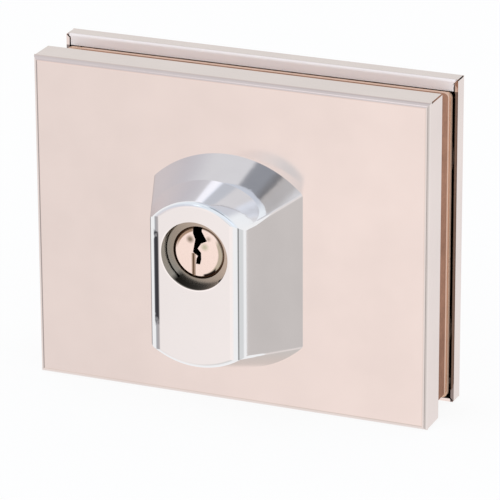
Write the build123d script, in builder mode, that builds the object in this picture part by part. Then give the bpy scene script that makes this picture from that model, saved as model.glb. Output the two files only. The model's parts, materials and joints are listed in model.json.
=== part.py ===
"""Glass door patch lock: two clamp plates with covers, a nose with a profile cylinder,
and a bolt in a flat case that sits in the cut-out of the glass.

The origin is where the cylinder axis meets the middle plane of the glass. +X runs to
the right seen from the keyed side, +Y from the keyed side to the back, +Z up.
All sizes are in millimetres.
"""
from build123d import *
from math import atan, cos, degrees, radians, sin, sqrt
import os

os.makedirs("parts", exist_ok=True)

# Patch and covers
patch_width = 102.0
patch_height = 82.4
axis_above_middle = 3.75
sheet = 0.8
bend_radius = 1.3
mitre_gap = 0.35
front_cover_depth = 8.5
rear_cover_depth = 5.3
lip_height = 2.9
lip_end_gap = 0.4
lip_bend_radius = 0.7

# Clamp plates and gaskets
plate_thickness = 4.0
plate_side_gap = 1.4
plate_end_gap = 0.6
plate_corner_radius = 2.0
rim_overhang = 0.1
gasket_thickness = 4.4
gasket_inset = 1.3
gasket_end_inset = 2.4
gasket_left_stop = 5.0
gasket_corner_radius = 1.2
flange_thickness = 1.3
flange_inset = 1.0
flange_top_inset = 2.8
flange_bottom_inset = 1.9
core_thickness = 3.6
cover_seat_gap = 1.0

# Clamp screws, one in each corner of the plates
clamp_inset_x = 13.0
clamp_inset_z = 11.2
clamp_screw_radius = 3.0
clamp_head_radius = 5.6
clamp_head_height = 2.6
clamp_hex = 3.4
clamp_hex_depth = 1.6
clamp_nut_radius = 5.0
clamp_nut_flange_radius = 6.2
clamp_nut_flange = 1.0
thread_clearance = 0.05
sleeve_radius = 4.5
sleeve_clearance = 0.1
sleeve_hole_clearance = 0.3
screw_tip_gap = 0.4

# Nose: a cone with two flats, raised to an arch around the cylinder
base_radius = 27.35
base_half_width = 19.25
base_centre_drop = 8.55
nose_length = 20.74
nose_draft = 0.3785
arch_radius = 14.1
arch_centre_drop = 0.88
arch_base_radius = 30.7
arch_base_drop = 13.8
arch_floor = -8.0
nose_edge_radius = 1.3
nose_roll_length = 2.4
nose_roll_bulge = 0.57

# Profile cylinder
profile_radius = 8.5
profile_leg_width = 10.0
profile_height = 33.0
profile_clearance = 0.1
face_recess = 2.8
plug_radius = 6.5
plug_clearance = 0.05
plug_face_edge = 0.6
shell_face_edge = 0.35
tail_radius = 4.0
tail_clearance = 0.6
tail_square = 5.2
square_clearance = 0.05
keyway_end_gap = 4.3
keyway_outline = (
    (-1.45, 6.9), (0.88, 6.9), (0.82, 5.37), (2.12, 3.1), (0.6, 2.32), (-0.28, 1.0), (0.58, 0.03),
    (0.62, -1.65), (0.29, -2.95), (-0.75, -2.92), (-0.61, -1.57), (-0.25, -0.9), (-1.52, 0.0), (-0.9, 3.2),
    (-1.45, 4.6),
)
slit_width = 0.4
slit_depth = 0.35
slit_x = -1.35
slit_top = -0.3

# Pins: five stacks in a row
pin_count = 5
pin_pitch = 3.3
first_pin_from_face = 3.8
pin_radius = 1.42
chamber_radius = 1.5
key_pin_lengths = (4.2, 5.0, 3.6, 4.6, 4.0)
key_pin_tip = 0.7
driver_length = 5.0
pin_shear_gap = 0.1
pin_spring_radius = 1.1
pin_wire_radius = 0.17
pin_spring_pitch = 1.85
chamber_cap_thickness = 1.2
chamber_cap_recess = 0.4

# Retaining ring
ring_thickness = 0.8
ring_groove_depth = 0.9
ring_outer_radius = 7.3
ring_pocket_radius = 7.6
ring_side_gap = 0.2
ring_bore_gap = 0.05
ring_gap = 3.0
plug_rear_gap = 0.05

# Crank on the plug's tail and the bolt that it throws
crank_radius = 10.0
crank_angle = 45.0
crank_hub_radius = 6.0
crank_arm_radius = 3.0
crank_thickness = 2.0
crank_pin_radius = 1.6
crank_slot_play = 0.4
crank_slot_end_play = 0.3
crank_front_gap = 0.6
crank_screw_radius = 1.5
crank_screw_length = 5.0
crank_screw_head_radius = 3.5
crank_screw_head = 0.6
crank_screw_slot = 0.7
bolt_thickness = 7.0
bolt_head_length = 30.9
bolt_tail_thickness = 3.0
bolt_tail_bottom = -5.0
bolt_tail_end_wall = 2.9
bolt_edge = 0.5
bolt_run_gap = 0.1
bolt_tip_inset = 2.1
guide_post_x = -12.0
guide_post_z = 0.0
guide_post_radius = 1.8
guide_play = 0.15
guide_end_play = 0.3
notch_depth = 0.6

# Lock case
case_wall = 1.2
case_left_gap = 2.8
case_right = 20.0
case_sleeve_gap = 1.75
case_cylinder_screw_gap = 0.8
bolt_top_gap = 0.6
bolt_bottom_gap = 4.6
bolt_slot_wall = 2.1
case_lid_thickness = 0.8
case_lid_gap = 0.2
case_seat_gap = 0.15
case_post_radius = 2.4
case_post_inset = 3.0
case_post_left_inset = 8.2
case_screw_radius = 1.5
case_screw_head_radius = 2.7
case_screw_head = 0.7
case_screw_grip = 1.8
case_screw_clearance = 0.05
faceplate_thickness = 1.4
faceplate_side_gap = 0.2
faceplate_block = 4.4
faceplate_block_depth = 5.5
faceplate_screw_radius = 1.25
faceplate_screw_head_radius = 2.2
faceplate_screw_head = 1.0
faceplate_screw_length = 6.0

# Bolt friction spring
leaf_thickness = 0.4
leaf_width = 4.5
leaf_foot = 7.0
leaf_clearance = 0.3
leaf_right = -17.0
leaf_tip_drop = 1.0
leaf_tip_length = 2.0
leaf_contact_x = -34.5

# Fixings of the nose and the cylinder
housing_screw_x = 12.0
housing_screw_z = -12.0
housing_screw_radius = 2.0
housing_screw_head_radius = 3.0
housing_screw_head = 2.0
housing_screw_depth = 8.0
housing_spacer_radius = 3.5
housing_spacer_bore = 2.2
cylinder_screw_radius = 2.0
cylinder_screw_head_radius = 3.2
cylinder_screw_head = 1.6
cylinder_screw_z = -20.0
cylinder_screw_depth = 3.3
screw_hole_clearance = 0.2
socket_hex = 2.4
socket_depth = 1.0

# Cover clips
clip_length = 10.0
clip_thickness = 0.4
clip_spacing = 44.0
clip_span = 2.6

# Places worked out from the sizes
middle_z = -axis_above_middle
half_width = patch_width / 2
half_height = patch_height / 2
front_plate_back = -gasket_thickness
front_plate_front = front_plate_back - plate_thickness
front_rim = front_plate_back + rim_overhang
front_face = front_rim - front_cover_depth
front_sheet_back = front_face + sheet
rear_plate_front = gasket_thickness
flange_back = rear_plate_front + flange_thickness
core_back = flange_back + core_thickness
rear_rim = flange_back + cover_seat_gap
rear_face = rear_rim + rear_cover_depth
inner_half_width = half_width - sheet
inner_half_height = half_height - sheet
plate_half_width = inner_half_width - plate_side_gap
plate_half_height = inner_half_height - plate_end_gap
core_half_height = half_height - lip_height - plate_end_gap
nose_front = front_face - nose_length
cylinder_face = nose_front + face_recess
body_back = front_plate_front - plug_rear_gap
clamp_points = [
    (side * (half_width - clamp_inset_x), middle_z + end * (half_height - clamp_inset_z))
    for side in (-1, 1)
    for end in (-1, 1)
]
pin_places = [cylinder_face + first_pin_from_face + number * pin_pitch for number in range(pin_count)]
key_pin_bottom = -sqrt(plug_radius**2 - pin_radius**2)
crank_x = crank_radius * sin(radians(crank_angle))
crank_z = crank_radius * cos(radians(crank_angle))
bolt_throw = 2 * crank_x
case_left = -half_width + case_left_gap
case_top = middle_z + half_height - clamp_inset_z - sleeve_radius - case_sleeve_gap
case_bottom = cylinder_screw_z + cylinder_screw_head_radius + case_cylinder_screw_gap
case_back = gasket_thickness - case_lid_gap - case_lid_thickness
bolt_back = case_back - bolt_run_gap
bolt_front = bolt_back - bolt_thickness
tray_floor_back = bolt_front - crank_front_gap
tray_floor_front = tray_floor_back - case_wall
crank_front = bolt_front
crank_back = crank_front + crank_thickness
bolt_tip = -half_width + bolt_tip_inset
bolt_head_end = bolt_tip + bolt_head_length
bolt_top = case_top - case_post_inset - case_post_radius - bolt_top_gap
bolt_bottom = case_bottom + case_post_inset + case_post_radius + bolt_bottom_gap
bolt_height = bolt_top - bolt_bottom
bolt_centre_z = (bolt_top + bolt_bottom) / 2
case_post_points = [
    (case_left + case_post_left_inset, case_top - case_post_inset),
    (case_left + case_post_left_inset, case_bottom + case_post_inset),
    (case_right - case_post_inset, case_top - case_post_inset),
    (case_right - case_post_inset, case_bottom + case_post_inset),
]
housing_screw_points = [(-housing_screw_x, housing_screw_z), (housing_screw_x, housing_screw_z)]


def facing(y):
    """Plane at depth y seen from the keyed side, with X to the right and Z up."""
    return Plane(origin=(0, y, 0), x_dir=(1, 0, 0), z_dir=(0, -1, 0))


def save(part, label):
    part.label = label
    export_step(part, f"parts/{label}.step")


def corner_signs():
    return [(side, end) for side in (-1, 1) for end in (-1, 1)]


def cut_mitres(first, last):
    """Slit the folded corners of a cover from depth first to depth last."""
    for side, end in corner_signs():
        middle = ((side * half_width), (first + last) / 2, middle_z + end * half_height)
        with Locations(Location(middle, (0, 45 * side * end, 0))):
            Box(mitre_gap, last - first, 6 * sheet, mode=Mode.SUBTRACT)


def profile(clearance):
    """Outline of the cylinder: a circle with a round-ended leg below it."""
    leg_radius = profile_leg_width / 2
    leg_end = -(profile_height - profile_radius)
    Circle(profile_radius + clearance)
    with Locations((0, (leg_end + leg_radius) / 2)):
        Rectangle(profile_leg_width + 2 * clearance, -(leg_end + leg_radius))
    with Locations((0, leg_end + leg_radius)):
        Circle(leg_radius + clearance)


# Front cover
with BuildPart() as front_cover:
    with BuildSketch(facing(front_face)):
        with Locations((0, middle_z)):
            Rectangle(patch_width, patch_height)
    extrude(amount=-front_cover_depth)
    fillet(front_cover.faces().sort_by(Axis.Y)[0].edges(), bend_radius)
    offset(amount=-sheet, openings=front_cover.faces().sort_by(Axis.Y)[-1])
    cut_mitres(front_face + bend_radius, front_rim)
    with BuildSketch(facing(front_face)):
        profile(profile_clearance)
        with Locations(*housing_screw_points):
            Circle(housing_screw_radius + screw_hole_clearance)
    extrude(amount=-sheet, mode=Mode.SUBTRACT)
save(front_cover.part, "front_cover")

# Rear cover, with a lip folded down along the top edge
with BuildPart() as rear_cover:
    with BuildSketch(facing(rear_rim)):
        with Locations((0, middle_z)):
            Rectangle(patch_width, patch_height)
    extrude(amount=-rear_cover_depth)
    fillet(rear_cover.faces().sort_by(Axis.Y)[-1].edges(), bend_radius)
    offset(amount=-sheet, openings=rear_cover.faces().sort_by(Axis.Y)[0])
    cut_mitres(rear_rim, rear_face - bend_radius)
    with BuildSketch(facing(rear_rim)):
        with Locations((0, middle_z + half_height - lip_height / 2)):
            Rectangle(2 * (inner_half_width - lip_end_gap), lip_height)
    extrude(amount=-sheet)
    top_edges = rear_cover.edges().filter_by(Axis.X).group_by(Axis.Z)[-1]
    lip_edge = top_edges.sort_by(Axis.Y)[0:1]
    fillet(lip_edge, lip_bend_radius)
save(rear_cover.part, "rear_cover")

# Front clamp plate
with BuildPart() as front_clamp_plate:
    with BuildSketch(facing(front_plate_front)):
        with Locations((0, middle_z)):
            RectangleRounded(2 * plate_half_width, 2 * plate_half_height, plate_corner_radius)
    extrude(amount=-plate_thickness)
    with BuildSketch(facing(front_plate_front)):
        Circle(tail_radius + tail_clearance)
        with Locations(*clamp_points):
            Circle(clamp_nut_radius)
        with Locations(*case_post_points):
            Circle(case_screw_radius)
        with Locations(*housing_screw_points, (0, cylinder_screw_z)):
            Circle(housing_screw_radius + screw_hole_clearance)
    extrude(amount=-plate_thickness, mode=Mode.SUBTRACT)
    with BuildSketch(facing(tray_floor_front)):
        with Locations(((case_right + case_seat_gap - half_width) / 2, (case_top + case_bottom) / 2)):
            Rectangle(
                case_right + case_seat_gap + half_width,
                case_top - case_bottom + 2 * case_seat_gap,
            )
    extrude(amount=-(front_plate_back - tray_floor_front), mode=Mode.SUBTRACT)
    with BuildSketch(facing(tray_floor_front - housing_screw_head)):
        with Locations(*housing_screw_points):
            Circle(housing_screw_head_radius + screw_hole_clearance)
    extrude(amount=-housing_screw_head, mode=Mode.SUBTRACT)
    with BuildSketch(facing(front_plate_back - cylinder_screw_head)):
        with Locations((0, cylinder_screw_z)):
            Circle(cylinder_screw_head_radius + screw_hole_clearance)
    extrude(amount=-cylinder_screw_head, mode=Mode.SUBTRACT)
save(front_clamp_plate.part, "front_clamp_plate")

# Rear clamp plate: a thin flange against the gasket and a thicker core behind it
with BuildPart() as rear_clamp_plate:
    with BuildSketch(facing(rear_plate_front)):
        with Locations((0, middle_z + (flange_bottom_inset - flange_top_inset) / 2)):
            RectangleRounded(
                2 * (half_width - flange_inset),
                patch_height - flange_top_inset - flange_bottom_inset,
                gasket_corner_radius,
            )
    extrude(amount=-flange_thickness)
    with BuildSketch(facing(flange_back)):
        with Locations((0, middle_z)):
            RectangleRounded(2 * plate_half_width, 2 * core_half_height, plate_corner_radius)
    extrude(amount=-core_thickness)
    with BuildSketch(facing(rear_plate_front)):
        with Locations(*clamp_points):
            Circle(clamp_screw_radius + screw_hole_clearance)
    extrude(amount=-(flange_thickness + core_thickness), mode=Mode.SUBTRACT)
    for clamp_x, clamp_z in clamp_points:
        with BuildSketch(facing(core_back)):
            with Locations((clamp_x, clamp_z)):
                Circle(clamp_head_radius + screw_hole_clearance)
        with BuildSketch(facing(core_back - clamp_head_height)):
            with Locations((clamp_x, clamp_z)):
                Circle(clamp_screw_radius + screw_hole_clearance)
        loft(mode=Mode.SUBTRACT)
save(rear_clamp_plate.part, "rear_clamp_plate")


def gasket(front):
    """U-shaped gasket from depth front, open to the left for the lock case."""
    left = -half_width + gasket_left_stop
    right = half_width - gasket_inset
    height = patch_height - 2 * gasket_end_inset
    with BuildPart() as blank:
        with BuildSketch(facing(front)):
            with Locations(((left + right) / 2, middle_z)):
                RectangleRounded(right - left, height, gasket_corner_radius)
        extrude(amount=-gasket_thickness)
        with BuildSketch(facing(front)):
            with Locations(((case_right + left) / 2, (case_top + case_bottom) / 2)):
                Rectangle(
                    case_right - left + 4 * case_seat_gap,
                    case_top - case_bottom + 4 * case_seat_gap,
                )
            with Locations(*clamp_points):
                Circle(sleeve_radius + sleeve_hole_clearance)
            with Locations((0, cylinder_screw_z)):
                Circle(cylinder_screw_head_radius + screw_hole_clearance)
        extrude(amount=-gasket_thickness, mode=Mode.SUBTRACT)
    return blank.part


save(gasket(-gasket_thickness), "front_gasket")
save(gasket(0.0), "rear_gasket")


def nose_section(depth, top_radius, top_drop, floor=None):
    """Section of the nose in front of the cover: two upright sides under an arch.

    It stands on the lower arch of the cone, or on a flat floor if one is given.
    """
    shrink = nose_draft * depth
    width = base_half_width - shrink
    bottom_radius = base_radius - shrink
    top_corner = sqrt(top_radius**2 - width**2) - top_drop
    bottom_corner = -sqrt(bottom_radius**2 - width**2) - base_centre_drop if floor is None else floor
    with BuildSketch(facing(front_face - depth)) as section:
        with BuildLine():
            if floor is None:
                lowest = (0, -bottom_radius - base_centre_drop)
                ThreePointArc((-width, bottom_corner), lowest, (width, bottom_corner))
            else:
                Line((-width, bottom_corner), (width, bottom_corner))
            Line((width, bottom_corner), (width, top_corner))
            ThreePointArc((width, top_corner), (0, top_radius - top_drop), (-width, top_corner))
            Line((-width, top_corner), (-width, bottom_corner))
        make_face()
    return section.sketch


def on_flank(edge):
    """True for the long edges along the two flats of the nose."""
    middle = edge @ 0.5
    flank = base_half_width - nose_draft * (front_face - middle.Y)
    runs_back = abs((edge @ 0).Y - (edge @ 1).Y) > nose_edge_radius
    return runs_back and abs(abs(middle.X) - flank) < nose_edge_radius / 4


# Nose that holds the cylinder: a cone with two flats, and an arch around the cylinder.
# Its two upright front edges roll over more widely than the rest.
with BuildPart() as cylinder_housing:
    cone_radius = base_radius - nose_draft * nose_length
    cone = [
        nose_section(0.0, base_radius, base_centre_drop),
        nose_section(nose_length, cone_radius, base_centre_drop),
    ]
    loft(cone, ruled=True)
    arch = [
        nose_section(0.0, arch_base_radius, arch_base_drop, arch_floor),
        nose_section(nose_length, arch_radius, arch_centre_drop, arch_floor),
    ]
    loft(arch, ruled=True)
    nose_edges = cylinder_housing.faces().sort_by(Axis.Y)[0].edges()
    fillet(nose_edges + cylinder_housing.edges().filter_by(on_flank), nose_edge_radius)
    front_half_width = base_half_width - nose_draft * nose_length
    roll_back = nose_roll_length / sqrt(1 + nose_draft**2)
    for side in (-1, 1):
        roll_start = (side * (front_half_width - nose_roll_length), nose_front)
        roll_end = (side * (front_half_width + nose_draft * roll_back), nose_front + roll_back)
        outside = (side * base_half_width, roll_end[1])
        before = nose_front - nose_roll_length
        with BuildSketch(Plane.XY.offset(middle_z + half_height)):
            with BuildLine():
                SagittaArc(roll_start, roll_end, -side * nose_roll_bulge)
                Polyline(roll_end, outside, (outside[0], before), (roll_start[0], before), roll_start)
            make_face()
        extrude(amount=-patch_height, mode=Mode.SUBTRACT)
    with BuildSketch(facing(nose_front)):
        Circle(profile_radius)
    extrude(amount=-face_recess, mode=Mode.SUBTRACT)
    with BuildSketch(facing(cylinder_face)):
        profile(profile_clearance)
    extrude(amount=-(front_face - cylinder_face), mode=Mode.SUBTRACT)
    with BuildSketch(facing(front_face)):
        with Locations(*housing_screw_points):
            Circle(housing_screw_radius)
    extrude(amount=housing_screw_depth, mode=Mode.SUBTRACT)
save(cylinder_housing.part, "cylinder_housing")

# Screws that draw the nose against the cover, and the spacers they pass through
with BuildPart() as housing_screws:
    head_back = tray_floor_front
    with BuildSketch(facing(head_back)):
        with Locations(*housing_screw_points):
            Circle(housing_screw_head_radius)
    extrude(amount=housing_screw_head)
    with BuildSketch(facing(head_back - housing_screw_head)):
        with Locations(*housing_screw_points):
            Circle(housing_screw_radius)
    extrude(amount=head_back - housing_screw_head - front_face + housing_screw_depth - screw_tip_gap)
    with BuildSketch(facing(head_back)):
        with Locations(*housing_screw_points):
            RegularPolygon(socket_hex / 2, 6, major_radius=False)
    extrude(amount=socket_depth, mode=Mode.SUBTRACT)
save(housing_screws.part, "housing_screws")

with BuildPart() as housing_spacers:
    with BuildSketch(facing(front_plate_front)):
        with Locations(*housing_screw_points):
            Circle(housing_spacer_radius)
            Circle(housing_spacer_bore, mode=Mode.SUBTRACT)
    extrude(amount=front_plate_front - front_sheet_back)
save(housing_spacers.part, "housing_spacers")

# Shell of the cylinder, with the chambers of the pins in its leg
leg_bottom = profile_radius - profile_height
cap_bottom = leg_bottom + chamber_cap_recess
cap_top = cap_bottom + chamber_cap_thickness
cap_width = 2 * chamber_radius
cap_front = pin_places[0] - 1.2 * chamber_radius
cap_length = pin_places[-1] - pin_places[0] + 2.4 * chamber_radius
with BuildPart() as cylinder_body:
    with BuildSketch(facing(cylinder_face)):
        profile(0.0)
    extrude(amount=cylinder_face - body_back)
    rim = cylinder_body.faces().sort_by(Axis.Y)[0].edges().sort_by(Edge.length)[-1]
    chamfer(rim, shell_face_edge)
    with BuildSketch(facing(cylinder_face)):
        Circle(plug_radius + plug_clearance)
    extrude(amount=cylinder_face - body_back, mode=Mode.SUBTRACT)
    with BuildSketch(facing(body_back)):
        Circle(ring_pocket_radius)
    extrude(amount=ring_thickness + 2 * ring_side_gap, mode=Mode.SUBTRACT)
    with BuildSketch(Plane.XY.offset(leg_bottom)):
        with Locations((0, cap_front + cap_length / 2)):
            Rectangle(cap_width, cap_length)
    extrude(amount=cap_top - leg_bottom, mode=Mode.SUBTRACT)
    with BuildSketch(Plane.XY.offset(cap_top)):
        with Locations(*[(0, place) for place in pin_places]):
            Circle(chamber_radius)
    extrude(amount=-cap_top - plug_radius / 2, mode=Mode.SUBTRACT)
    with BuildSketch(facing(body_back)):
        with Locations((0, cylinder_screw_z)):
            Circle(cylinder_screw_radius)
    extrude(amount=cylinder_screw_depth, mode=Mode.SUBTRACT)
save(cylinder_body.part, "cylinder_body")

# Plug with its keyway, the holes for the key pins, the ring groove and the tail
with BuildPart() as cylinder_plug:
    with BuildSketch(facing(cylinder_face)):
        Circle(plug_radius)
    extrude(amount=cylinder_face - body_back)
    chamfer(cylinder_plug.faces().sort_by(Axis.Y)[0].edges(), plug_face_edge)
    with BuildSketch(facing(cylinder_face)):
        with BuildLine():
            Polyline(*keyway_outline, close=True)
        make_face()
    extrude(amount=cylinder_face - body_back + keyway_end_gap, mode=Mode.SUBTRACT)
    with BuildSketch(facing(cylinder_face)):
        with Locations((slit_x, (slit_top - plug_radius) / 2)):
            Rectangle(slit_width, plug_radius + slit_top)
    extrude(amount=-slit_depth, mode=Mode.SUBTRACT)
    with BuildSketch(Plane.XY.offset(-plug_radius)):
        with Locations(*[(0, place) for place in pin_places]):
            Circle(chamber_radius)
    extrude(amount=plug_radius + key_pin_bottom + max(key_pin_lengths) + pin_shear_gap, mode=Mode.SUBTRACT)
    with BuildSketch(facing(body_back - ring_side_gap)):
        Circle(plug_radius)
        Circle(plug_radius - ring_groove_depth, mode=Mode.SUBTRACT)
    extrude(amount=ring_thickness, mode=Mode.SUBTRACT)
    with BuildSketch(facing(body_back)):
        Circle(tail_radius)
    extrude(amount=body_back - crank_front)
    with BuildSketch(facing(crank_front)):
        Rectangle(tail_square, tail_square)
    extrude(amount=-crank_thickness)
    with BuildSketch(facing(crank_back)):
        Circle(crank_screw_radius)
    extrude(amount=crank_screw_length, mode=Mode.SUBTRACT)
save(cylinder_plug.part, "cylinder_plug")

# Retaining ring on the plug
with BuildPart() as plug_circlip:
    with BuildSketch(facing(body_back - ring_side_gap)):
        Circle(ring_outer_radius)
        Circle(plug_radius - ring_groove_depth + ring_bore_gap, mode=Mode.SUBTRACT)
        with Locations((0, plug_radius)):
            Rectangle(ring_gap, plug_radius, mode=Mode.SUBTRACT)
    extrude(amount=ring_thickness)
save(plug_circlip.part, "plug_circlip")

# Key pins, driver pins and springs
with BuildPart() as key_pins:
    for place, length in zip(pin_places, key_pin_lengths):
        with Locations((0, place, key_pin_bottom + length / 2)):
            Cylinder(pin_radius, length)
    pin_tips = key_pins.edges().filter_by(GeomType.CIRCLE).filter_by(lambda e: e.center().Z > 1 - plug_radius)
    chamfer(pin_tips, key_pin_tip)
save(key_pins.part, "key_pins")

driver_top = -plug_radius - pin_shear_gap
driver_bottom = driver_top - driver_length
with BuildPart() as driver_pins:
    with BuildSketch(Plane.XY.offset(driver_bottom)):
        with Locations(*[(0, place) for place in pin_places]):
            Circle(pin_radius)
    extrude(amount=driver_length)
save(driver_pins.part, "driver_pins")

with BuildPart() as pin_springs:
    spring_bottom = cap_top + pin_wire_radius
    spring_length = driver_bottom - cap_top - 2 * pin_wire_radius
    with BuildLine():
        coil = Helix(pin_spring_pitch, spring_length, pin_spring_radius, center=(0, 0, spring_bottom))
    with BuildSketch(Plane(origin=coil @ 0, z_dir=coil % 0)):
        Circle(pin_wire_radius)
    sweep(is_frenet=True)
one_spring = pin_springs.part
with BuildPart() as pin_springs:
    for place in pin_places:
        add(one_spring.moved(Location((0, place, 0))))
save(pin_springs.part, "pin_springs")

with BuildPart() as pin_chamber_cap:
    with BuildSketch(Plane.XY.offset(cap_bottom)):
        with Locations((0, cap_front + cap_length / 2)):
            Rectangle(cap_width, cap_length)
    extrude(amount=chamber_cap_thickness)
save(pin_chamber_cap.part, "pin_chamber_cap")

# Screw that holds the cylinder to the front plate
with BuildPart() as cylinder_screw:
    with BuildSketch(facing(front_plate_back)):
        with Locations((0, cylinder_screw_z)):
            Circle(cylinder_screw_head_radius)
    extrude(amount=cylinder_screw_head)
    with BuildSketch(facing(front_plate_back - cylinder_screw_head)):
        with Locations((0, cylinder_screw_z)):
            Circle(cylinder_screw_radius)
    shank_tip = body_back - cylinder_screw_depth + plug_rear_gap
    extrude(amount=front_plate_back - cylinder_screw_head - shank_tip)
    with BuildSketch(facing(front_plate_back)):
        with Locations((0, cylinder_screw_z)):
            RegularPolygon(socket_hex / 2, 6, major_radius=False)
    extrude(amount=socket_depth, mode=Mode.SUBTRACT)
save(cylinder_screw.part, "cylinder_screw")

# Crank on the square of the tail, with the pin that throws the bolt
with BuildPart() as plug_crank:
    with BuildSketch(facing(crank_front)):
        Circle(crank_hub_radius)
        with Locations((crank_x, crank_z)):
            Circle(crank_arm_radius)
        with Locations(Location((crank_x / 2, crank_z / 2, 0), crank_angle)):
            Rectangle(crank_radius, 2 * crank_arm_radius)
        Rectangle(tail_square + 2 * square_clearance, tail_square + 2 * square_clearance, mode=Mode.SUBTRACT)
    extrude(amount=-crank_thickness)
    with BuildSketch(facing(crank_back)):
        with Locations((crank_x, crank_z)):
            Circle(crank_pin_radius)
    extrude(amount=-(bolt_back - crank_back))
save(plug_crank.part, "plug_crank")

with BuildPart() as crank_screw:
    with BuildSketch(facing(crank_back)):
        Circle(crank_screw_head_radius)
    extrude(amount=-crank_screw_head)
    with BuildSketch(facing(crank_back)):
        Circle(crank_screw_radius)
    extrude(amount=crank_screw_length - screw_tip_gap)
    with BuildSketch(facing(crank_back + crank_screw_head)):
        Rectangle(2 * crank_screw_head_radius, crank_screw_slot)
    extrude(amount=crank_screw_head / 2, mode=Mode.SUBTRACT)
save(crank_screw.part, "crank_screw")

# Bolt: a thick head that leaves the case, and a thin tail with the slot for the crank pin
notch_places = [leaf_contact_x, leaf_contact_x + bolt_throw]
with BuildPart() as bolt:
    with BuildSketch(facing(bolt_front)):
        with Locations((bolt_tip + bolt_head_length / 2, bolt_centre_z)):
            Rectangle(bolt_head_length, bolt_height)
        with Locations(*[(place, bolt_bottom) for place in notch_places]):
            Rectangle(2 * notch_depth, 2 * notch_depth, 45, mode=Mode.SUBTRACT)
    extrude(amount=-bolt_thickness)
    tip_edges = bolt.faces().sort_by(Axis.X)[0].edges()
    chamfer(tip_edges, bolt_edge)
    tail_right = crank_x + crank_pin_radius + crank_slot_play + bolt_tail_end_wall
    slot_bottom = crank_z - crank_pin_radius - crank_slot_end_play
    slot_top = crank_radius + crank_pin_radius + crank_slot_end_play
    tail_top = slot_top + bolt_slot_wall
    with BuildSketch(facing(bolt_back - bolt_tail_thickness)):
        with Locations(((bolt_head_end + tail_right) / 2, (tail_top + bolt_tail_bottom) / 2)):
            Rectangle(tail_right - bolt_head_end, tail_top - bolt_tail_bottom)
        with Locations((crank_x, (slot_bottom + slot_top) / 2)):
            Rectangle(
                2 * (crank_pin_radius + crank_slot_play), slot_top - slot_bottom, mode=Mode.SUBTRACT
            )
        with Locations((guide_post_x + bolt_throw / 2, guide_post_z)):
            SlotCenterToCenter(
                bolt_throw + 2 * guide_end_play, 2 * (guide_post_radius + guide_play), mode=Mode.SUBTRACT
            )
    extrude(amount=-bolt_tail_thickness)
save(bolt.part, "bolt")

# Flat spring under the bolt that holds it at each end of its travel
with BuildPart() as bolt_spring:
    leaf_floor = case_bottom + case_wall
    leaf_bend = leaf_right - leaf_foot
    leaf_peak = bolt_bottom - leaf_clearance - leaf_thickness
    with BuildSketch(facing((bolt_front + bolt_back - leaf_width) / 2)):
        with BuildLine():
            Polyline(
                (leaf_right, leaf_floor),
                (leaf_bend, leaf_floor),
                (leaf_contact_x, leaf_peak),
                (leaf_contact_x - leaf_tip_length, leaf_peak - leaf_tip_drop),
                (leaf_contact_x - leaf_tip_length, leaf_peak - leaf_tip_drop + leaf_thickness),
                (leaf_contact_x, leaf_peak + leaf_thickness),
                (leaf_bend, leaf_floor + leaf_thickness),
                (leaf_right, leaf_floor + leaf_thickness),
                close=True,
            )
        make_face()
    extrude(amount=-leaf_width)
save(bolt_spring.part, "bolt_spring")

# Lock case: an open tray, its lid and four screws into the front plate
case_width = case_right - case_left
case_height = case_top - case_bottom
case_centre = ((case_left + case_right) / 2, (case_top + case_bottom) / 2)
window_bottom = bolt_bottom - bolt_run_gap
window_height = bolt_height + 2 * bolt_run_gap
block_points = [
    (case_left + faceplate_block_depth / 2, case_top - faceplate_block / 2),
    (case_left + faceplate_block_depth / 2, case_bottom + faceplate_block / 2),
]
with BuildPart() as lock_case:
    with BuildSketch(facing(tray_floor_front)):
        with Locations(case_centre):
            Rectangle(case_width, case_height)
    extrude(amount=-(case_back - tray_floor_front))
    with BuildSketch(facing(tray_floor_back)):
        with Locations(case_centre):
            Rectangle(case_width - 2 * case_wall, case_height - 2 * case_wall)
    extrude(amount=-(case_back - tray_floor_back), mode=Mode.SUBTRACT)
    with BuildSketch(facing(tray_floor_back)):
        with Locations(*case_post_points):
            Circle(case_post_radius)
        with Locations(*block_points):
            Rectangle(faceplate_block_depth, faceplate_block)
        with Locations((guide_post_x, guide_post_z)):
            Circle(guide_post_radius)
    extrude(amount=-(case_back - tray_floor_back))
    with BuildSketch(facing(tray_floor_front)):
        Circle(tail_radius + tail_clearance)
        with Locations(*case_post_points):
            Circle(case_screw_radius)
    extrude(amount=-(case_back - tray_floor_front), mode=Mode.SUBTRACT)
    with BuildSketch(facing(bolt_front - bolt_run_gap)):
        with Locations((case_left + case_wall / 2, window_bottom + window_height / 2)):
            Rectangle(case_wall, window_height)
    extrude(amount=-(case_back - bolt_front + bolt_run_gap), mode=Mode.SUBTRACT)
    for block_x, block_z in block_points:
        with BuildSketch(Plane.YZ.offset(case_left)):
            with Locations(((tray_floor_back + case_back) / 2, block_z)):
                Circle(faceplate_screw_radius)
        extrude(amount=faceplate_screw_length - faceplate_thickness, mode=Mode.SUBTRACT)
save(lock_case.part, "lock_case")

lid_back = case_back + case_lid_thickness
case_screw_taper = degrees(atan((case_screw_head_radius - case_screw_radius) / case_screw_head))
with BuildPart() as case_lid:
    with BuildSketch(facing(case_back)):
        with Locations(case_centre):
            Rectangle(case_width, case_height)
        with Locations(*case_post_points):
            Circle(case_screw_radius + case_screw_clearance, mode=Mode.SUBTRACT)
    extrude(amount=-case_lid_thickness)
    with BuildSketch(facing(lid_back)):
        with Locations(*case_post_points):
            Circle(case_screw_head_radius + case_screw_clearance)
    extrude(amount=case_screw_head, taper=case_screw_taper, mode=Mode.SUBTRACT)
save(case_lid.part, "case_lid")

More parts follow.
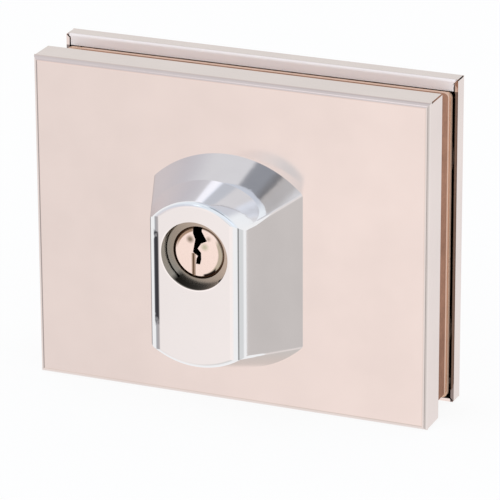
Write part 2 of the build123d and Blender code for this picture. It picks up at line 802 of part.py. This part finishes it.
with BuildPart() as case_screws:
    with BuildSketch(facing(lid_back)):
        with Locations(*case_post_points):
            Circle(case_screw_head_radius)
    extrude(amount=case_screw_head, taper=case_screw_taper)
    with BuildSketch(facing(lid_back - case_screw_head)):
        with Locations(*case_post_points):
            Circle(case_screw_radius)
    extrude(amount=lid_back - case_screw_head - tray_floor_front + case_screw_grip)
    with BuildSketch(facing(lid_back)):
        with Locations(*case_post_points):
            Rectangle(2 * case_screw_radius, crank_screw_slot)
            Rectangle(crank_screw_slot, 2 * case_screw_radius)
    extrude(amount=case_screw_head, mode=Mode.SUBTRACT)
save(case_screws.part, "case_screws")

# Face plate around the bolt, and its two screws
faceplate_screw_taper = degrees(
    atan((faceplate_screw_head_radius - faceplate_screw_radius) / faceplate_screw_head)
)
with BuildPart() as faceplate:
    face_front = front_plate_back + faceplate_side_gap
    face_back = rear_plate_front - faceplate_side_gap
    with BuildSketch(Plane.YZ.offset(case_left)):
        with Locations(((face_front + face_back) / 2, case_centre[1])):
            Rectangle(face_back - face_front, case_height)
        with Locations(((bolt_front + bolt_back) / 2, bolt_centre_z)):
            Rectangle(bolt_thickness + 2 * bolt_run_gap, window_height, mode=Mode.SUBTRACT)
        with Locations(*[((tray_floor_back + case_back) / 2, place[1]) for place in block_points]):
            Circle(faceplate_screw_radius, mode=Mode.SUBTRACT)
    extrude(amount=-faceplate_thickness)
    with BuildSketch(Plane.YZ.offset(case_left - faceplate_thickness)):
        with Locations(*[((tray_floor_back + case_back) / 2, place[1]) for place in block_points]):
            Circle(faceplate_screw_head_radius)
    extrude(amount=faceplate_screw_head, taper=faceplate_screw_taper, mode=Mode.SUBTRACT)
save(faceplate.part, "faceplate")

with BuildPart() as faceplate_screws:
    screw_places = [((tray_floor_back + case_back) / 2, place[1]) for place in block_points]
    with BuildSketch(Plane.YZ.offset(case_left - faceplate_thickness)):
        with Locations(*screw_places):
            Circle(faceplate_screw_head_radius)
    extrude(amount=faceplate_screw_head, taper=faceplate_screw_taper)
    with BuildSketch(Plane.YZ.offset(case_left - faceplate_thickness + faceplate_screw_head)):
        with Locations(*screw_places):
            Circle(faceplate_screw_radius)
    extrude(amount=faceplate_screw_length - faceplate_screw_head - screw_tip_gap)
    with BuildSketch(Plane.YZ.offset(case_left - faceplate_thickness)):
        with Locations(*screw_places):
            Rectangle(2 * faceplate_screw_radius, crank_screw_slot)
            Rectangle(crank_screw_slot, 2 * faceplate_screw_radius)
    extrude(amount=faceplate_screw_head, mode=Mode.SUBTRACT)
save(faceplate_screws.part, "faceplate_screws")

# Clamp screws with their threaded inserts and the sleeves between the plates
with BuildPart() as clamp_screws:
    screw_tip = front_sheet_back + screw_tip_gap
    for clamp_x, clamp_z in clamp_points:
        with BuildSketch(facing(core_back)):
            with Locations((clamp_x, clamp_z)):
                Circle(clamp_head_radius)
        with BuildSketch(facing(core_back - clamp_head_height)):
            with Locations((clamp_x, clamp_z)):
                Circle(clamp_screw_radius)
        loft()
    with BuildSketch(facing(core_back - clamp_head_height)):
        with Locations(*clamp_points):
            Circle(clamp_screw_radius)
    extrude(amount=core_back - clamp_head_height - screw_tip)
    with BuildSketch(facing(core_back)):
        with Locations(*clamp_points):
            RegularPolygon(clamp_hex / 2, 6, major_radius=False)
    extrude(amount=clamp_hex_depth, mode=Mode.SUBTRACT)
save(clamp_screws.part, "clamp_screws")

with BuildPart() as clamp_inserts:
    with BuildSketch(facing(front_plate_back)):
        with Locations(*clamp_points):
            Circle(clamp_nut_radius)
    extrude(amount=plate_thickness)
    with BuildSketch(facing(front_plate_front)):
        with Locations(*clamp_points):
            Circle(clamp_nut_flange_radius)
    extrude(amount=clamp_nut_flange)
    with BuildSketch(facing(front_plate_back)):
        with Locations(*clamp_points):
            Circle(clamp_screw_radius + thread_clearance)
    extrude(amount=plate_thickness + clamp_nut_flange, mode=Mode.SUBTRACT)
save(clamp_inserts.part, "clamp_inserts")

with BuildPart() as clamp_sleeves:
    with BuildSketch(facing(front_plate_back)):
        with Locations(*clamp_points):
            Circle(sleeve_radius)
            Circle(clamp_screw_radius + sleeve_clearance, mode=Mode.SUBTRACT)
    extrude(amount=-2 * gasket_thickness)
save(clamp_sleeves.part, "clamp_sleeves")


def cover_clips(depth):
    """Four bowed spring clips between the sides of a plate and its cover, centred at a depth."""
    crown = inner_half_width
    foot = plate_half_width
    with BuildPart() as clips:
        for side in (-1, 1):
            for end in (-1, 1):
                middle = middle_z + end * clip_spacing / 2
                with BuildSketch(facing(depth + clip_span / 2)):
                    with BuildLine():
                        first = (side * (foot + clip_thickness / 2), middle - clip_length / 2)
                        top = (side * (crown - clip_thickness / 2), middle)
                        last = (side * (foot + clip_thickness / 2), middle + clip_length / 2)
                        ThreePointArc(first, top, last)
                    trace(line_width=clip_thickness)
                extrude(amount=clip_span)
    return clips.part


save(cover_clips(front_plate_back - plate_thickness / 2), "front_cover_clips")
save(cover_clips(core_back - clip_span / 2), "rear_cover_clips")
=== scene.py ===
"""Looks of the glass door patch lock: metals, fibre gasket, studio light and camera."""
import json
import math

import bpy
from mathutils import Matrix, Vector


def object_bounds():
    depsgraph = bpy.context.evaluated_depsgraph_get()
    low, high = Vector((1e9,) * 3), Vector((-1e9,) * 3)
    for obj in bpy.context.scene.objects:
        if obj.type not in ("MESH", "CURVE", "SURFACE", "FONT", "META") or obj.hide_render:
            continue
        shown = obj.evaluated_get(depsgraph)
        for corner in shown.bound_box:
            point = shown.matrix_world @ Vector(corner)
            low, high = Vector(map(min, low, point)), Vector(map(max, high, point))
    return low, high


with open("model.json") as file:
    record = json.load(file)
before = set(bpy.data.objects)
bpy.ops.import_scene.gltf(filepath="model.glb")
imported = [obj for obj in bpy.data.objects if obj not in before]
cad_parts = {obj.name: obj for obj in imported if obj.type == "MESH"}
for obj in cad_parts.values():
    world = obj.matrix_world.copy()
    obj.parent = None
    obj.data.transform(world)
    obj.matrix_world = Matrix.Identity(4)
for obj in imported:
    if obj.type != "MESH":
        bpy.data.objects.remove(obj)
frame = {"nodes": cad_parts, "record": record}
scene = bpy.context.scene
cad_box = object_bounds()
nodes = frame["nodes"]

# Camera, fitted to the straight edges of both covers in the photograph
IMAGE_SIDE = 500
AZIMUTH = math.radians(22.893)
ELEVATION = math.radians(20.488)
ROLL = math.radians(-0.418)
DISTANCE = 0.931
FOCAL_PIXELS = 3875.0
SENSOR = 36.0
COVER_FRONT = Vector((0.0, -0.0128, -0.00375))
COVER_CENTRE_PIXEL = (228.34, 242.76)

looking = Vector((
    -math.sin(AZIMUTH) * math.cos(ELEVATION),
    math.cos(AZIMUTH) * math.cos(ELEVATION),
    -math.sin(ELEVATION),
))
right = Vector((math.cos(AZIMUTH), math.sin(AZIMUTH), 0.0))
up = right.cross(looking)
right, up = right * math.cos(ROLL) + up * math.sin(ROLL), up * math.cos(ROLL) - right * math.sin(ROLL)
aside = (IMAGE_SIDE / 2 - COVER_CENTRE_PIXEL[0]) / FOCAL_PIXELS
lift = (COVER_CENTRE_PIXEL[1] - IMAGE_SIDE / 2) / FOCAL_PIXELS
place = COVER_FRONT - looking * DISTANCE
looking = (looking + right * aside + up * lift).normalized()
right = (right - looking * right.dot(looking)).normalized()
up = right.cross(looking)

camera_data = bpy.data.cameras.new("camera")
camera_data.sensor_width = SENSOR
camera_data.lens = FOCAL_PIXELS / IMAGE_SIDE * SENSOR
camera = bpy.data.objects.new("camera", camera_data)
camera.matrix_world = Matrix((
    (right.x, up.x, -looking.x, place.x),
    (right.y, up.y, -looking.y, place.y),
    (right.z, up.z, -looking.z, place.z),
    (0.0, 0.0, 0.0, 1.0),
))
scene.collection.objects.link(camera)
scene.camera = camera
scene.view_settings.view_transform = "Standard"


# Shader nodes. Each value given to them is a number, a vector, a colour or another node's socket.

NOISE_LOW, NOISE_HIGH = 0.3, 0.7  # most of a noise lies between these
EVEN = (1.0, 1.0, 1.0)


def fill(tree, node, inputs):
    """Set a node's inputs, by name or by place, to values, or link them to sockets."""
    for key, value in inputs.items():
        if isinstance(value, bpy.types.NodeSocket):
            tree.links.new(value, node.inputs[key])
        else:
            node.inputs[key].default_value = value
    return node


def add(tree, kind, inputs):
    """A new node with its inputs filled."""
    return fill(tree, tree.nodes.new(kind), inputs)


def calculate(tree, operation, first, second=0.0):
    node = add(tree, "ShaderNodeMath", {0: first, 1: second})
    node.operation = operation
    return node.outputs[0]


def blend(tree, factor, base, over, kind="MIX"):
    """The colour over laid on the colour base by factor."""
    node = tree.nodes.new("ShaderNodeMix")
    node.data_type = "RGBA"
    node.blend_type = kind
    return fill(tree, node, {0: factor, 6: base, 7: over}).outputs[2]


def mapped(tree, scale):
    """Object coordinates stretched by scale along X, Y and Z."""
    coordinates = tree.nodes.new("ShaderNodeTexCoord").outputs["Object"]
    return add(tree, "ShaderNodeMapping", {"Vector": coordinates, "Scale": scale}).outputs[0]


def noise(tree, scale, detail=3.0, roughness=0.5, stretch=EVEN):
    return add(tree, "ShaderNodeTexNoise", {
        "Vector": mapped(tree, stretch), "Scale": scale, "Detail": detail, "Roughness": roughness,
    }).outputs[0]


def spread(tree, value, low, high, start=NOISE_LOW, end=NOISE_HIGH):
    """A number that goes from low to high as value goes from start to end."""
    return add(tree, "ShaderNodeMapRange", {
        "Value": value, "From Min": start, "From Max": end, "To Min": low, "To Max": high,
    }).outputs[0]


def ramp(tree, value, stops):
    """A colour that follows value through stops, each a value and its colour."""
    node = add(tree, "ShaderNodeValToRGB", {"Fac": value})
    elements = node.color_ramp.elements
    while len(elements) < len(stops):
        elements.new(0.5)
    for element, (at, colour) in zip(elements, stops):
        element.position = at
        element.color = (*colour, 1.0)
    return node.outputs[0]


def tone(tree, value, dark, light, start=NOISE_LOW, end=NOISE_HIGH):
    """A colour that goes from dark to light as value goes from start to end."""
    return ramp(tree, value, ((start, dark), (end, light)))


# Materials

def new_material(name):
    material = bpy.data.materials.new(name)
    material.use_nodes = True
    tree = material.node_tree
    tree.nodes.clear()
    output = tree.nodes.new("ShaderNodeOutputMaterial")
    shader = tree.nodes.new("ShaderNodeBsdfPrincipled")
    tree.links.new(shader.outputs[0], output.inputs[0])
    return material, tree, shader


def shade(colour, factor):
    return tuple(channel * factor for channel in colour)


def metal(name, colour, rough, grain=EVEN, relief=0.05, mottle=0.03):
    """Metal with faint large clouding, and a fine grain in its gloss and relief."""
    material, tree, shader = new_material(name)
    cloud = noise(tree, scale=45.0, detail=4.0, roughness=0.6)
    streak = noise(tree, scale=2500.0, detail=4.0, roughness=0.65, stretch=grain)
    bump = add(tree, "ShaderNodeBump", {"Strength": relief, "Distance": 0.00002, "Height": streak})
    fill(tree, shader, {
        "Base Color": tone(tree, cloud, shade(colour, 1 - mottle), shade(colour, 1 + mottle)),
        "Metallic": 1.0,
        "Roughness": spread(tree, streak, rough * 0.85, rough * 1.15),
        "Normal": bump.outputs[0],
    })
    return material


def matt(name, dark, light, rough, relief=0.3):
    """Matt material whose colour and relief share a fine speckle."""
    material, tree, shader = new_material(name)
    speckle = noise(tree, scale=1800.0, detail=5.0, roughness=0.7)
    cloud = noise(tree, scale=90.0, detail=3.0, roughness=0.6)
    mean = calculate(tree, "MULTIPLY", calculate(tree, "ADD", speckle, cloud), 0.5)
    bump = add(tree, "ShaderNodeBump", {"Strength": relief, "Distance": 0.00008, "Height": speckle})
    fill(tree, shader, {
        "Base Color": tone(tree, mean, dark, light, start=0.36, end=0.64),
        "Roughness": spread(tree, speckle, rough * 0.9, min(1.0, rough * 1.1)),
        "Normal": bump.outputs[0],
    })
    return material


SATIN = ((0.84, 0.765, 0.735), 0.11, (1.0, 1.0, 6.0))
FIBRE = ((0.24, 0.108, 0.06), (0.44, 0.212, 0.128), 0.85)

# One look for each material slot, and one for each node that differs from its slot. Metals have a colour,
# a roughness and a grain; matt materials have a dark and a light colour and a roughness.
looks = {
    "cover_steel": metal("cover_satin", *SATIN),
    "rear_cover": metal("cover_satin_rear", *SATIN),
    "nose_chrome": metal("nose_chrome", (0.88, 0.88, 0.885), 0.05, relief=0.008, mottle=0.01),
    "plate_aluminium": metal("plate_machined", (0.62, 0.60, 0.57), 0.35),
    "rim_plate": metal("rim_passivated", (0.80, 0.57, 0.42), 0.38),
    "gasket_fibre": matt("gasket_fibre", *FIBRE),
    "rear_gasket": matt("gasket_fibre_rear", *FIBRE),
    "cylinder_nickel": metal("shell_nickel", (0.35, 0.31, 0.26), 0.25),
    "plug_nickel": metal("plug_nickel", (1.0, 0.86, 0.79), 0.25),
    # the brass pins are darkened with painted shade
    "pin_brass": metal("pin_brass", (0.50, 0.34, 0.15), 0.25),
    "spring_steel": metal("spring_bright", (0.55, 0.55, 0.56), 0.25),
    "screw_steel": metal("screw_zinc", (0.5, 0.5, 0.52), 0.33),
    "bolt_steel": metal("bolt_ground", (0.62, 0.61, 0.6), 0.25, (1.0, 8.0, 8.0)),
    "case_steel": metal("case_zinc", (0.52, 0.52, 0.52), 0.4),
    "faceplate_steel": metal("faceplate_satin", (0.68, 0.66, 0.64), 0.28, (1.0, 1.0, 8.0)),
    "sleeve_nylon": matt("sleeve_nylon", (0.74, 0.73, 0.68), (0.84, 0.83, 0.78), 0.45, relief=0.08),
}


# Paint, laid over the base colour of a look

def paint(material, factor, colour, kind="MIX"):
    """Lay a colour over the base colour where factor is 1."""
    tree = material.node_tree
    base = tree.nodes["Principled BSDF"].inputs["Base Color"]
    tree.links.new(blend(tree, factor, base.links[0].from_socket, colour, kind), base)


def rgb(red, green, blue):
    """An opaque colour, as a socket wants it."""
    return red, green, blue, 1.0


WHITE = rgb(1.0, 1.0, 1.0)


# Covers: painted shade makes the bends along all four edges darker than the flats, most of all along the
# top
X_AXIS, Z_AXIS = 0, 2
TOP_BEND_SHADE = (
    # how far the surface leans that way, from 0 to 1, and the factor on its colour
    (0.0, (1.0, 1.0, 1.0)),
    (0.2, (0.94, 0.89, 0.86)),
    (0.5, (0.91, 0.84, 0.81)),
    (0.93, (0.76, 0.71, 0.70)),
    (0.985, (0.82, 0.78, 0.77)),
    (0.999, (1.0, 1.0, 1.0)),
)
OTHER_BEND_SHADE = (
    (0.0, (1.0, 1.0, 1.0)),
    (0.12, (0.95, 0.92, 0.90)),
    (0.5, (0.94, 0.90, 0.88)),
    (0.97, (1.0, 1.0, 1.0)),
)
BEND_SHADES = (
    (Z_AXIS, 1.0, TOP_BEND_SHADE),
    (Z_AXIS, -1.0, OTHER_BEND_SHADE),
    (X_AXIS, -1.0, OTHER_BEND_SHADE),
    (X_AXIS, 1.0, OTHER_BEND_SHADE),
)
for material in (looks["cover_steel"], looks["rear_cover"]):
    tree = material.node_tree
    for axis, sign, stops in BEND_SHADES:
        normal = tree.nodes.new("ShaderNodeTexCoord").outputs["Normal"]
        apart = add(tree, "ShaderNodeSeparateXYZ", {"Vector": normal})
        lean = calculate(tree, "MULTIPLY", apart.outputs[axis], sign)
        # painted shade: each bend's colour is multiplied down by how far it leans
        paint(material, 1.0, ramp(tree, lean, stops), "MULTIPLY")


# Zones of a part: factors that are 1 inside and 0 outside. All sizes of zones are in millimetres,
# and a limit written as a pair is its place and how far its soft edge reaches to either side.

MM = 1000.0
CRISP = 0.02


def opened(name):
    """The material and the node tree of a look, with sockets of x, y and z on the part."""
    material = looks[name]
    tree = material.node_tree
    apart = add(tree, "ShaderNodeSeparateXYZ", {"Vector": mapped(tree, (MM, MM, MM))})
    return material, tree, apart.outputs[:3]


def from_axis(tree, x, z, centre=(0.0, 0.0)):
    """Distance from the line along Y through centre."""
    across = calculate(tree, "SUBTRACT", x, centre[0])
    along = calculate(tree, "SUBTRACT", z, centre[1])
    squares = [calculate(tree, "MULTIPLY", side, side) for side in (across, along)]
    return calculate(tree, "SQRT", calculate(tree, "ADD", *squares))


def above(tree, value, limit, soft=0.05):
    return spread(tree, value, 0.0, 1.0, limit - soft, limit + soft)


def below(tree, value, limit, soft=0.05):
    return spread(tree, value, 1.0, 0.0, limit - soft, limit + soft)


def every(tree, *factors):
    """1 where all factors are 1."""
    product = factors[0]
    for factor in factors[1:]:
        product = calculate(tree, "MULTIPLY", product, factor)
    return product


# Rear cover: its cut edge is dark, painted shade makes its inside nearly black, and the lip folded down
# along the top is matt and painted pale as a painted highlight
COVER_TOP, COVER_BOTTOM = 37.45, -44.95
COVER_HALF_WIDTH = 51.0
COVER_BACK = 12.0
REAR_RIM = 6.7
LIP = 2.95
SHEET = 0.8
MARGIN = 0.1
LIP_BACK = (REAR_RIM + 0.5, 0.2)
LIP_ROUGHNESS = 0.7
lip_bottom = COVER_TOP - LIP
inner_half_width = COVER_HALF_WIDTH - SHEET

material, tree, (x, y, z) = opened("rear_cover")
half_width = calculate(tree, "ABSOLUTE", x)
rim = every(
    tree, below(tree, y, REAR_RIM + MARGIN / 2, CRISP), below(tree, z, lip_bottom),
    above(tree, half_width, inner_half_width - MARGIN),
)
inside = every(
    tree, above(tree, y, REAR_RIM + MARGIN, CRISP), below(tree, y, COVER_BACK - SHEET + MARGIN),
    below(tree, half_width, inner_half_width + MARGIN),
    above(tree, z, COVER_BOTTOM + SHEET - MARGIN), below(tree, z, lip_bottom - MARGIN),
)
lip = every(
    tree, above(tree, z, lip_bottom), below(tree, y, *LIP_BACK),
    below(tree, half_width, inner_half_width),
)
paint(material, rim, rgb(0.26, 0.22, 0.21))
# painted shade: the inside of the cover is painted nearly black
paint(material, inside, rgb(0.03, 0.025, 0.022))
# painted highlight: the lip is painted pale
paint(material, lip, rgb(1.0, 0.92, 0.89))
shader = tree.nodes["Principled BSDF"]
rough = shader.inputs["Roughness"].links[0].from_socket
lip_rough = spread(tree, lip, 0.0, LIP_ROUGHNESS, 0.0, 1.0)
fill(tree, shader, {
    "Metallic": spread(tree, lip, 1.0, 0.0, 0.0, 1.0),
    "Roughness": calculate(tree, "MAXIMUM", rough, lip_rough),
})

# Rear gasket: paler towards its back
PALER_FROM = (3.4, 0.1)

material, tree, (x, y, z) = opened("rear_gasket")
paint(material, above(tree, y, *PALER_FROM), rgb(0.74, 0.50, 0.38))

# Nose: a painted highlight as a bright rim at the lower left of its hole, painted shade on the wall below
# the cylinder, and a painted dark reflection on the left roll-over
NOSE_FRONT = -33.54
RIM_INNER, RIM_OUTER = (8.55, CRISP), (8.85, 0.1)
RIM_BACK = (NOSE_FRONT + 0.02, 0.01)
RIM_LOWER_LEFT = (-1.0, 2.0)
WALL_OUTER = (8.75, CRISP)
WALL_FRONT = (NOSE_FRONT + 0.3, 0.3)
WALL_TOP = (-6.3, 0.5)
REFLECTION_LEFT, REFLECTION_RIGHT = (-10.5, 0.12), (-9.2, 0.2)
REFLECTION_BACK = (-31.0, 0.5)
REFLECTION_BOTTOM, REFLECTION_TOP = (-17.5, 1.5), (4.0, 1.0)
REFLECTION_WAVE = 2.5

material, tree, (x, y, z) = opened("nose_chrome")
radius = from_axis(tree, x, z)
diagonal = calculate(tree, "ADD", x, z)
wavy = calculate(tree, "ADD", z, spread(tree, noise(tree, 500.0), -REFLECTION_WAVE, REFLECTION_WAVE))
rim = every(
    tree, above(tree, radius, *RIM_INNER), below(tree, radius, *RIM_OUTER), below(tree, y, *RIM_BACK),
    below(tree, diagonal, *RIM_LOWER_LEFT),
)
wall = every(
    tree, below(tree, radius, *WALL_OUTER), above(tree, y, *WALL_FRONT), below(tree, z, *WALL_TOP),
)
dark_reflection = every(
    tree, above(tree, x, *REFLECTION_LEFT), below(tree, x, *REFLECTION_RIGHT), below(tree, y, *REFLECTION_BACK),
    above(tree, wavy, *REFLECTION_BOTTOM), below(tree, wavy, *REFLECTION_TOP),
)
# painted highlight: a white rim at the lower left of the hole
paint(material, rim, WHITE)
# painted shade: the wall below the cylinder is painted nearly black
paint(material, wall, rgb(0.015, 0.012, 0.01))
# painted reflection: a dark streak on the left roll-over
paint(material, dark_reflection, rgb(0.10, 0.10, 0.11))

# Cylinder: painted light makes its ring lighter up and to the right
RING_SLANT_X, RING_SLANT_Z = 0.85, 0.5
RING_DARK, RING_LIGHT = -3.0, 8.5

material, tree, (x, y, z) = opened("cylinder_nickel")
slant_x = calculate(tree, "MULTIPLY", x, RING_SLANT_X)
slant_z = calculate(tree, "MULTIPLY", z, RING_SLANT_Z)
slant = calculate(tree, "ADD", slant_x, slant_z)
# painted light: a lighter colour laid on up and to the right
paint(material, spread(tree, slant, 0.0, 1.0, RING_DARK, RING_LIGHT), rgb(0.60, 0.50, 0.42))

# Plug: a bevel with painted reflections and shade, brown at the top left, pale on the right and dark
# below, two dark marks and a spot of painted reflection, a slit with painted shade in two browns, and a
# keyway whose painted shade turns it from brown to black as it gets deeper
CYLINDER_FACE = -30.74
BROWN_CENTRE, BROWN_INNER = (0.4, -0.5), (5.95, 0.12)
BROWN_BOTTOM, BROWN_RIGHT = (1.6, 1.2), (-1.2, 0.6)
PALE_CENTRE, PALE_INNER = (-0.75, 0.0), (5.75, 0.15)
PALE_SLOPE, PALE_LEFT = 0.4, (3.4, 0.6)
DARK_INNER = (5.45, 0.12)
DARK_LEFT, DARK_RIGHT, DARK_TOP = (1.2, 0.25), (4.3, 0.25), (-3.0, 0.3)
MARKS_AND_REFLECTION = (
    # x and z of the centre, radius with softness, colour
    ((-2.2, 3.1), (0.75, 0.45), rgb(0.30, 0.24, 0.18)),
    ((2.5, 3.7), (0.4, 0.45), rgb(0.45, 0.37, 0.3)),
    ((1.5, 1.55), (0.75, 0.45), rgb(0.62, 0.60, 0.46)),
)
SLIT_X = -1.35
SLIT_TOP = -0.3
SLIT_END = 6.1
SLIT_BANDS = (
    # half width with softness, colour
    ((0.48, 0.06), rgb(0.32, 0.24, 0.18)),
    ((0.3, 0.06), rgb(0.60, 0.47, 0.37)),
)
KEYWAY_DEPTHS = (
    # depth with softness, colour from there on
    ((0.1, 0.06), rgb(0.30, 0.21, 0.15)),
    ((0.9, 0.4), rgb(0.012, 0.006, 0.004)),
)

material, tree, (x, y, z) = opened("plug_nickel")
radius = from_axis(tree, x, z)
slope = calculate(tree, "SUBTRACT", x, calculate(tree, "MULTIPLY", z, PALE_SLOPE))
top_left = every(tree, above(tree, z, *BROWN_BOTTOM), below(tree, x, *BROWN_RIGHT))
brown = every(tree, above(tree, from_axis(tree, x, z, BROWN_CENTRE), *BROWN_INNER), top_left)
pale = every(
    tree, above(tree, from_axis(tree, x, z, PALE_CENTRE), *PALE_INNER), above(tree, slope, *PALE_LEFT),
)
dark = every(
    tree, above(tree, radius, *DARK_INNER), above(tree, x, *DARK_LEFT), below(tree, x, *DARK_RIGHT),
    below(tree, z, *DARK_TOP),
)
# painted reflections and shade on the bevel
paint(material, brown, rgb(0.40, 0.28, 0.20))
paint(material, pale, rgb(0.52, 0.47, 0.37))
paint(material, dark, rgb(0.02, 0.012, 0.01))
# two dark marks and one spot of painted reflection on the warding's bulge
for centre, size, colour in MARKS_AND_REFLECTION:
    paint(material, below(tree, from_axis(tree, x, z, centre), *size), colour)
beside = calculate(tree, "ABSOLUTE", calculate(tree, "SUBTRACT", x, SLIT_X))
along = every(tree, below(tree, z, SLIT_TOP), below(tree, radius, SLIT_END))
# painted shade in the slit
for half_band, colour in SLIT_BANDS:
    paint(material, every(tree, along, below(tree, beside, *half_band)), colour)
deep = calculate(tree, "SUBTRACT", y, CYLINDER_FACE)
# painted shade that deepens into the keyway
for depth, colour in KEYWAY_DEPTHS:
    paint(material, above(tree, deep, *depth), colour)

for part in frame["record"]["subparts"]:
    node = nodes[part["node"]]
    node.data.materials.clear()
    node.data.materials.append(looks.get(part["node"], looks[part["material_slot"]]))

# World: white to the camera, and to everything else a pale studio with a few tinted and grey cards
STUDIO = rgb(0.97, 0.97, 0.98)
CARDS = (
    # azimuth from the front to the right, elevation, radius, softness, all in degrees, and the factor
    (-24.0, -21.0, 27.0, 12.0, rgb(1.08, 0.985, 0.945)),
    (-45.0, -21.0, 19.0, 5.0, rgb(0.84, 0.86, 0.87)),
    (64.0, -21.0, 20.0, 8.0, rgb(0.76, 0.77, 0.77)),
    (157.0, -20.0, 20.0, 8.0, rgb(0.93, 0.90, 0.89)),
    (-157.0, 20.0, 24.0, 14.0, rgb(0.85, 0.84, 0.82)),
    (-51.0, -21.0, 13.0, 4.0, rgb(0.52, 0.52, 0.54)),
    (46.0, -21.0, 4.0, 2.0, rgb(0.35, 0.35, 0.35)),
    (-48.0, 15.0, 22.0, 14.0, rgb(0.80, 0.79, 0.83)),
    (10.0, 66.0, 52.0, 18.0, rgb(0.90, 0.96, 1.02)),
    (36.0, 72.0, 13.0, 1.5, rgb(0.40, 0.42, 0.45)),
    (55.0, 57.0, 9.0, 4.0, rgb(0.66, 0.63, 0.60)),
    (-24.5, 41.2, 4.9, 1.0, rgb(1.50, 1.53, 1.58)),
    (172.0, 66.0, 22.0, 6.0, rgb(0.705, 0.70, 0.74)),
    (42.0, 47.0, 9.0, 4.0, rgb(1.10, 1.17, 1.26)),
    (-13.0, 47.5, 7.0, 1.5, rgb(0.79, 0.83, 0.88)),
    (-10.0, -44.0, 14.0, 6.0, rgb(0.76, 0.79, 0.79)),
    (-3.0, -3.0, 9.0, 6.0, rgb(0.80, 0.86, 0.90)),
)
SMALLEST_CORE = 0.5


def toward(azimuth, elevation):
    """Unit vector for an azimuth from -Y towards +X and an elevation, in degrees."""
    around, height = math.radians(azimuth), math.radians(elevation)
    return Vector((
        math.sin(around) * math.cos(height),
        -math.cos(around) * math.cos(height),
        math.sin(height),
    ))


world = bpy.data.worlds.new("studio")
scene.world = world
world.use_nodes = True
tree = world.node_tree
tree.nodes.clear()
direction = tree.nodes.new("ShaderNodeTexCoord").outputs["Generated"]
colour = STUDIO
for azimuth, elevation, radius, soft, factor in CARDS:
    facing = add(tree, "ShaderNodeVectorMath", {0: direction, 1: toward(azimuth, elevation)})
    facing.operation = "DOT_PRODUCT"
    card = add(tree, "ShaderNodeMapRange", {
        "Value": facing.outputs["Value"],
        "From Min": math.cos(math.radians(radius + soft)),
        "From Max": math.cos(math.radians(max(radius - soft, SMALLEST_CORE))),
    })
    card.interpolation_type = "SMOOTHSTEP"
    colour = blend(tree, card.outputs[0], colour, factor, "MULTIPLY")
studio = add(tree, "ShaderNodeBackground", {"Color": colour, "Strength": 1.0})
white = add(tree, "ShaderNodeBackground", {"Color": WHITE, "Strength": 1.0})
to_camera = tree.nodes.new("ShaderNodeLightPath").outputs["Is Camera Ray"]
either = add(tree, "ShaderNodeMixShader", {"Fac": to_camera, 1: studio.outputs[0], 2: white.outputs[0]})
add(tree, "ShaderNodeOutputWorld", {"Surface": either.outputs[0]})

# Floor under the covers: white, with a faint shadow
FLOOR_SIDE = 3.0
FLOOR_CELLS = 8
FLOOR_GAP = 0.0001
FLOOR_GLOW = 0.9

bpy.ops.mesh.primitive_grid_add(
    x_subdivisions=FLOOR_CELLS, y_subdivisions=FLOOR_CELLS, size=FLOOR_SIDE,
    location=(0.0, 0.0, cad_box[0].z - FLOOR_GAP),
)
floor = bpy.context.object
floor.name = "floor"
material, tree, shader = new_material("floor_white")
fill(tree, shader, {
    "Base Color": tone(tree, noise(tree, 6.0), (0.97, 0.97, 0.97), (0.99, 0.99, 0.99)),
    "Roughness": 0.9,
    "Specular IOR Level": 0.0,
})
glow = add(tree, "ShaderNodeEmission", {"Color": WHITE, "Strength": 1.0})
to_camera = tree.nodes.new("ShaderNodeLightPath").outputs["Is Camera Ray"]
seen = calculate(tree, "MULTIPLY", to_camera, FLOOR_GLOW)
both = add(tree, "ShaderNodeMixShader", {"Fac": seen, 1: shader.outputs[0], 2: glow.outputs[0]})
fill(tree, tree.nodes["Material Output"], {"Surface": both.outputs[0]})
floor.data.materials.append(material)
floor.visible_glossy = False


def lamp(name, location, size, watts):
    """A soft area lamp that looks at the lock."""
    data = bpy.data.lights.new(name, "AREA")
    data.shape = "DISK"
    data.size = size
    data.energy = watts
    item = bpy.data.objects.new(name, data)
    item.location = location
    item.rotation_mode = "QUATERNION"
    item.rotation_quaternion = (-Vector(location)).to_track_quat("-Z", "Y")
    item.visible_glossy = False
    scene.collection.objects.link(item)


lamp("lamp_key", (-0.5, -0.8, 1.0), 0.7, 1.6)
lamp("lamp_fill", (0.8, -0.6, 0.6), 0.8, 0.8)
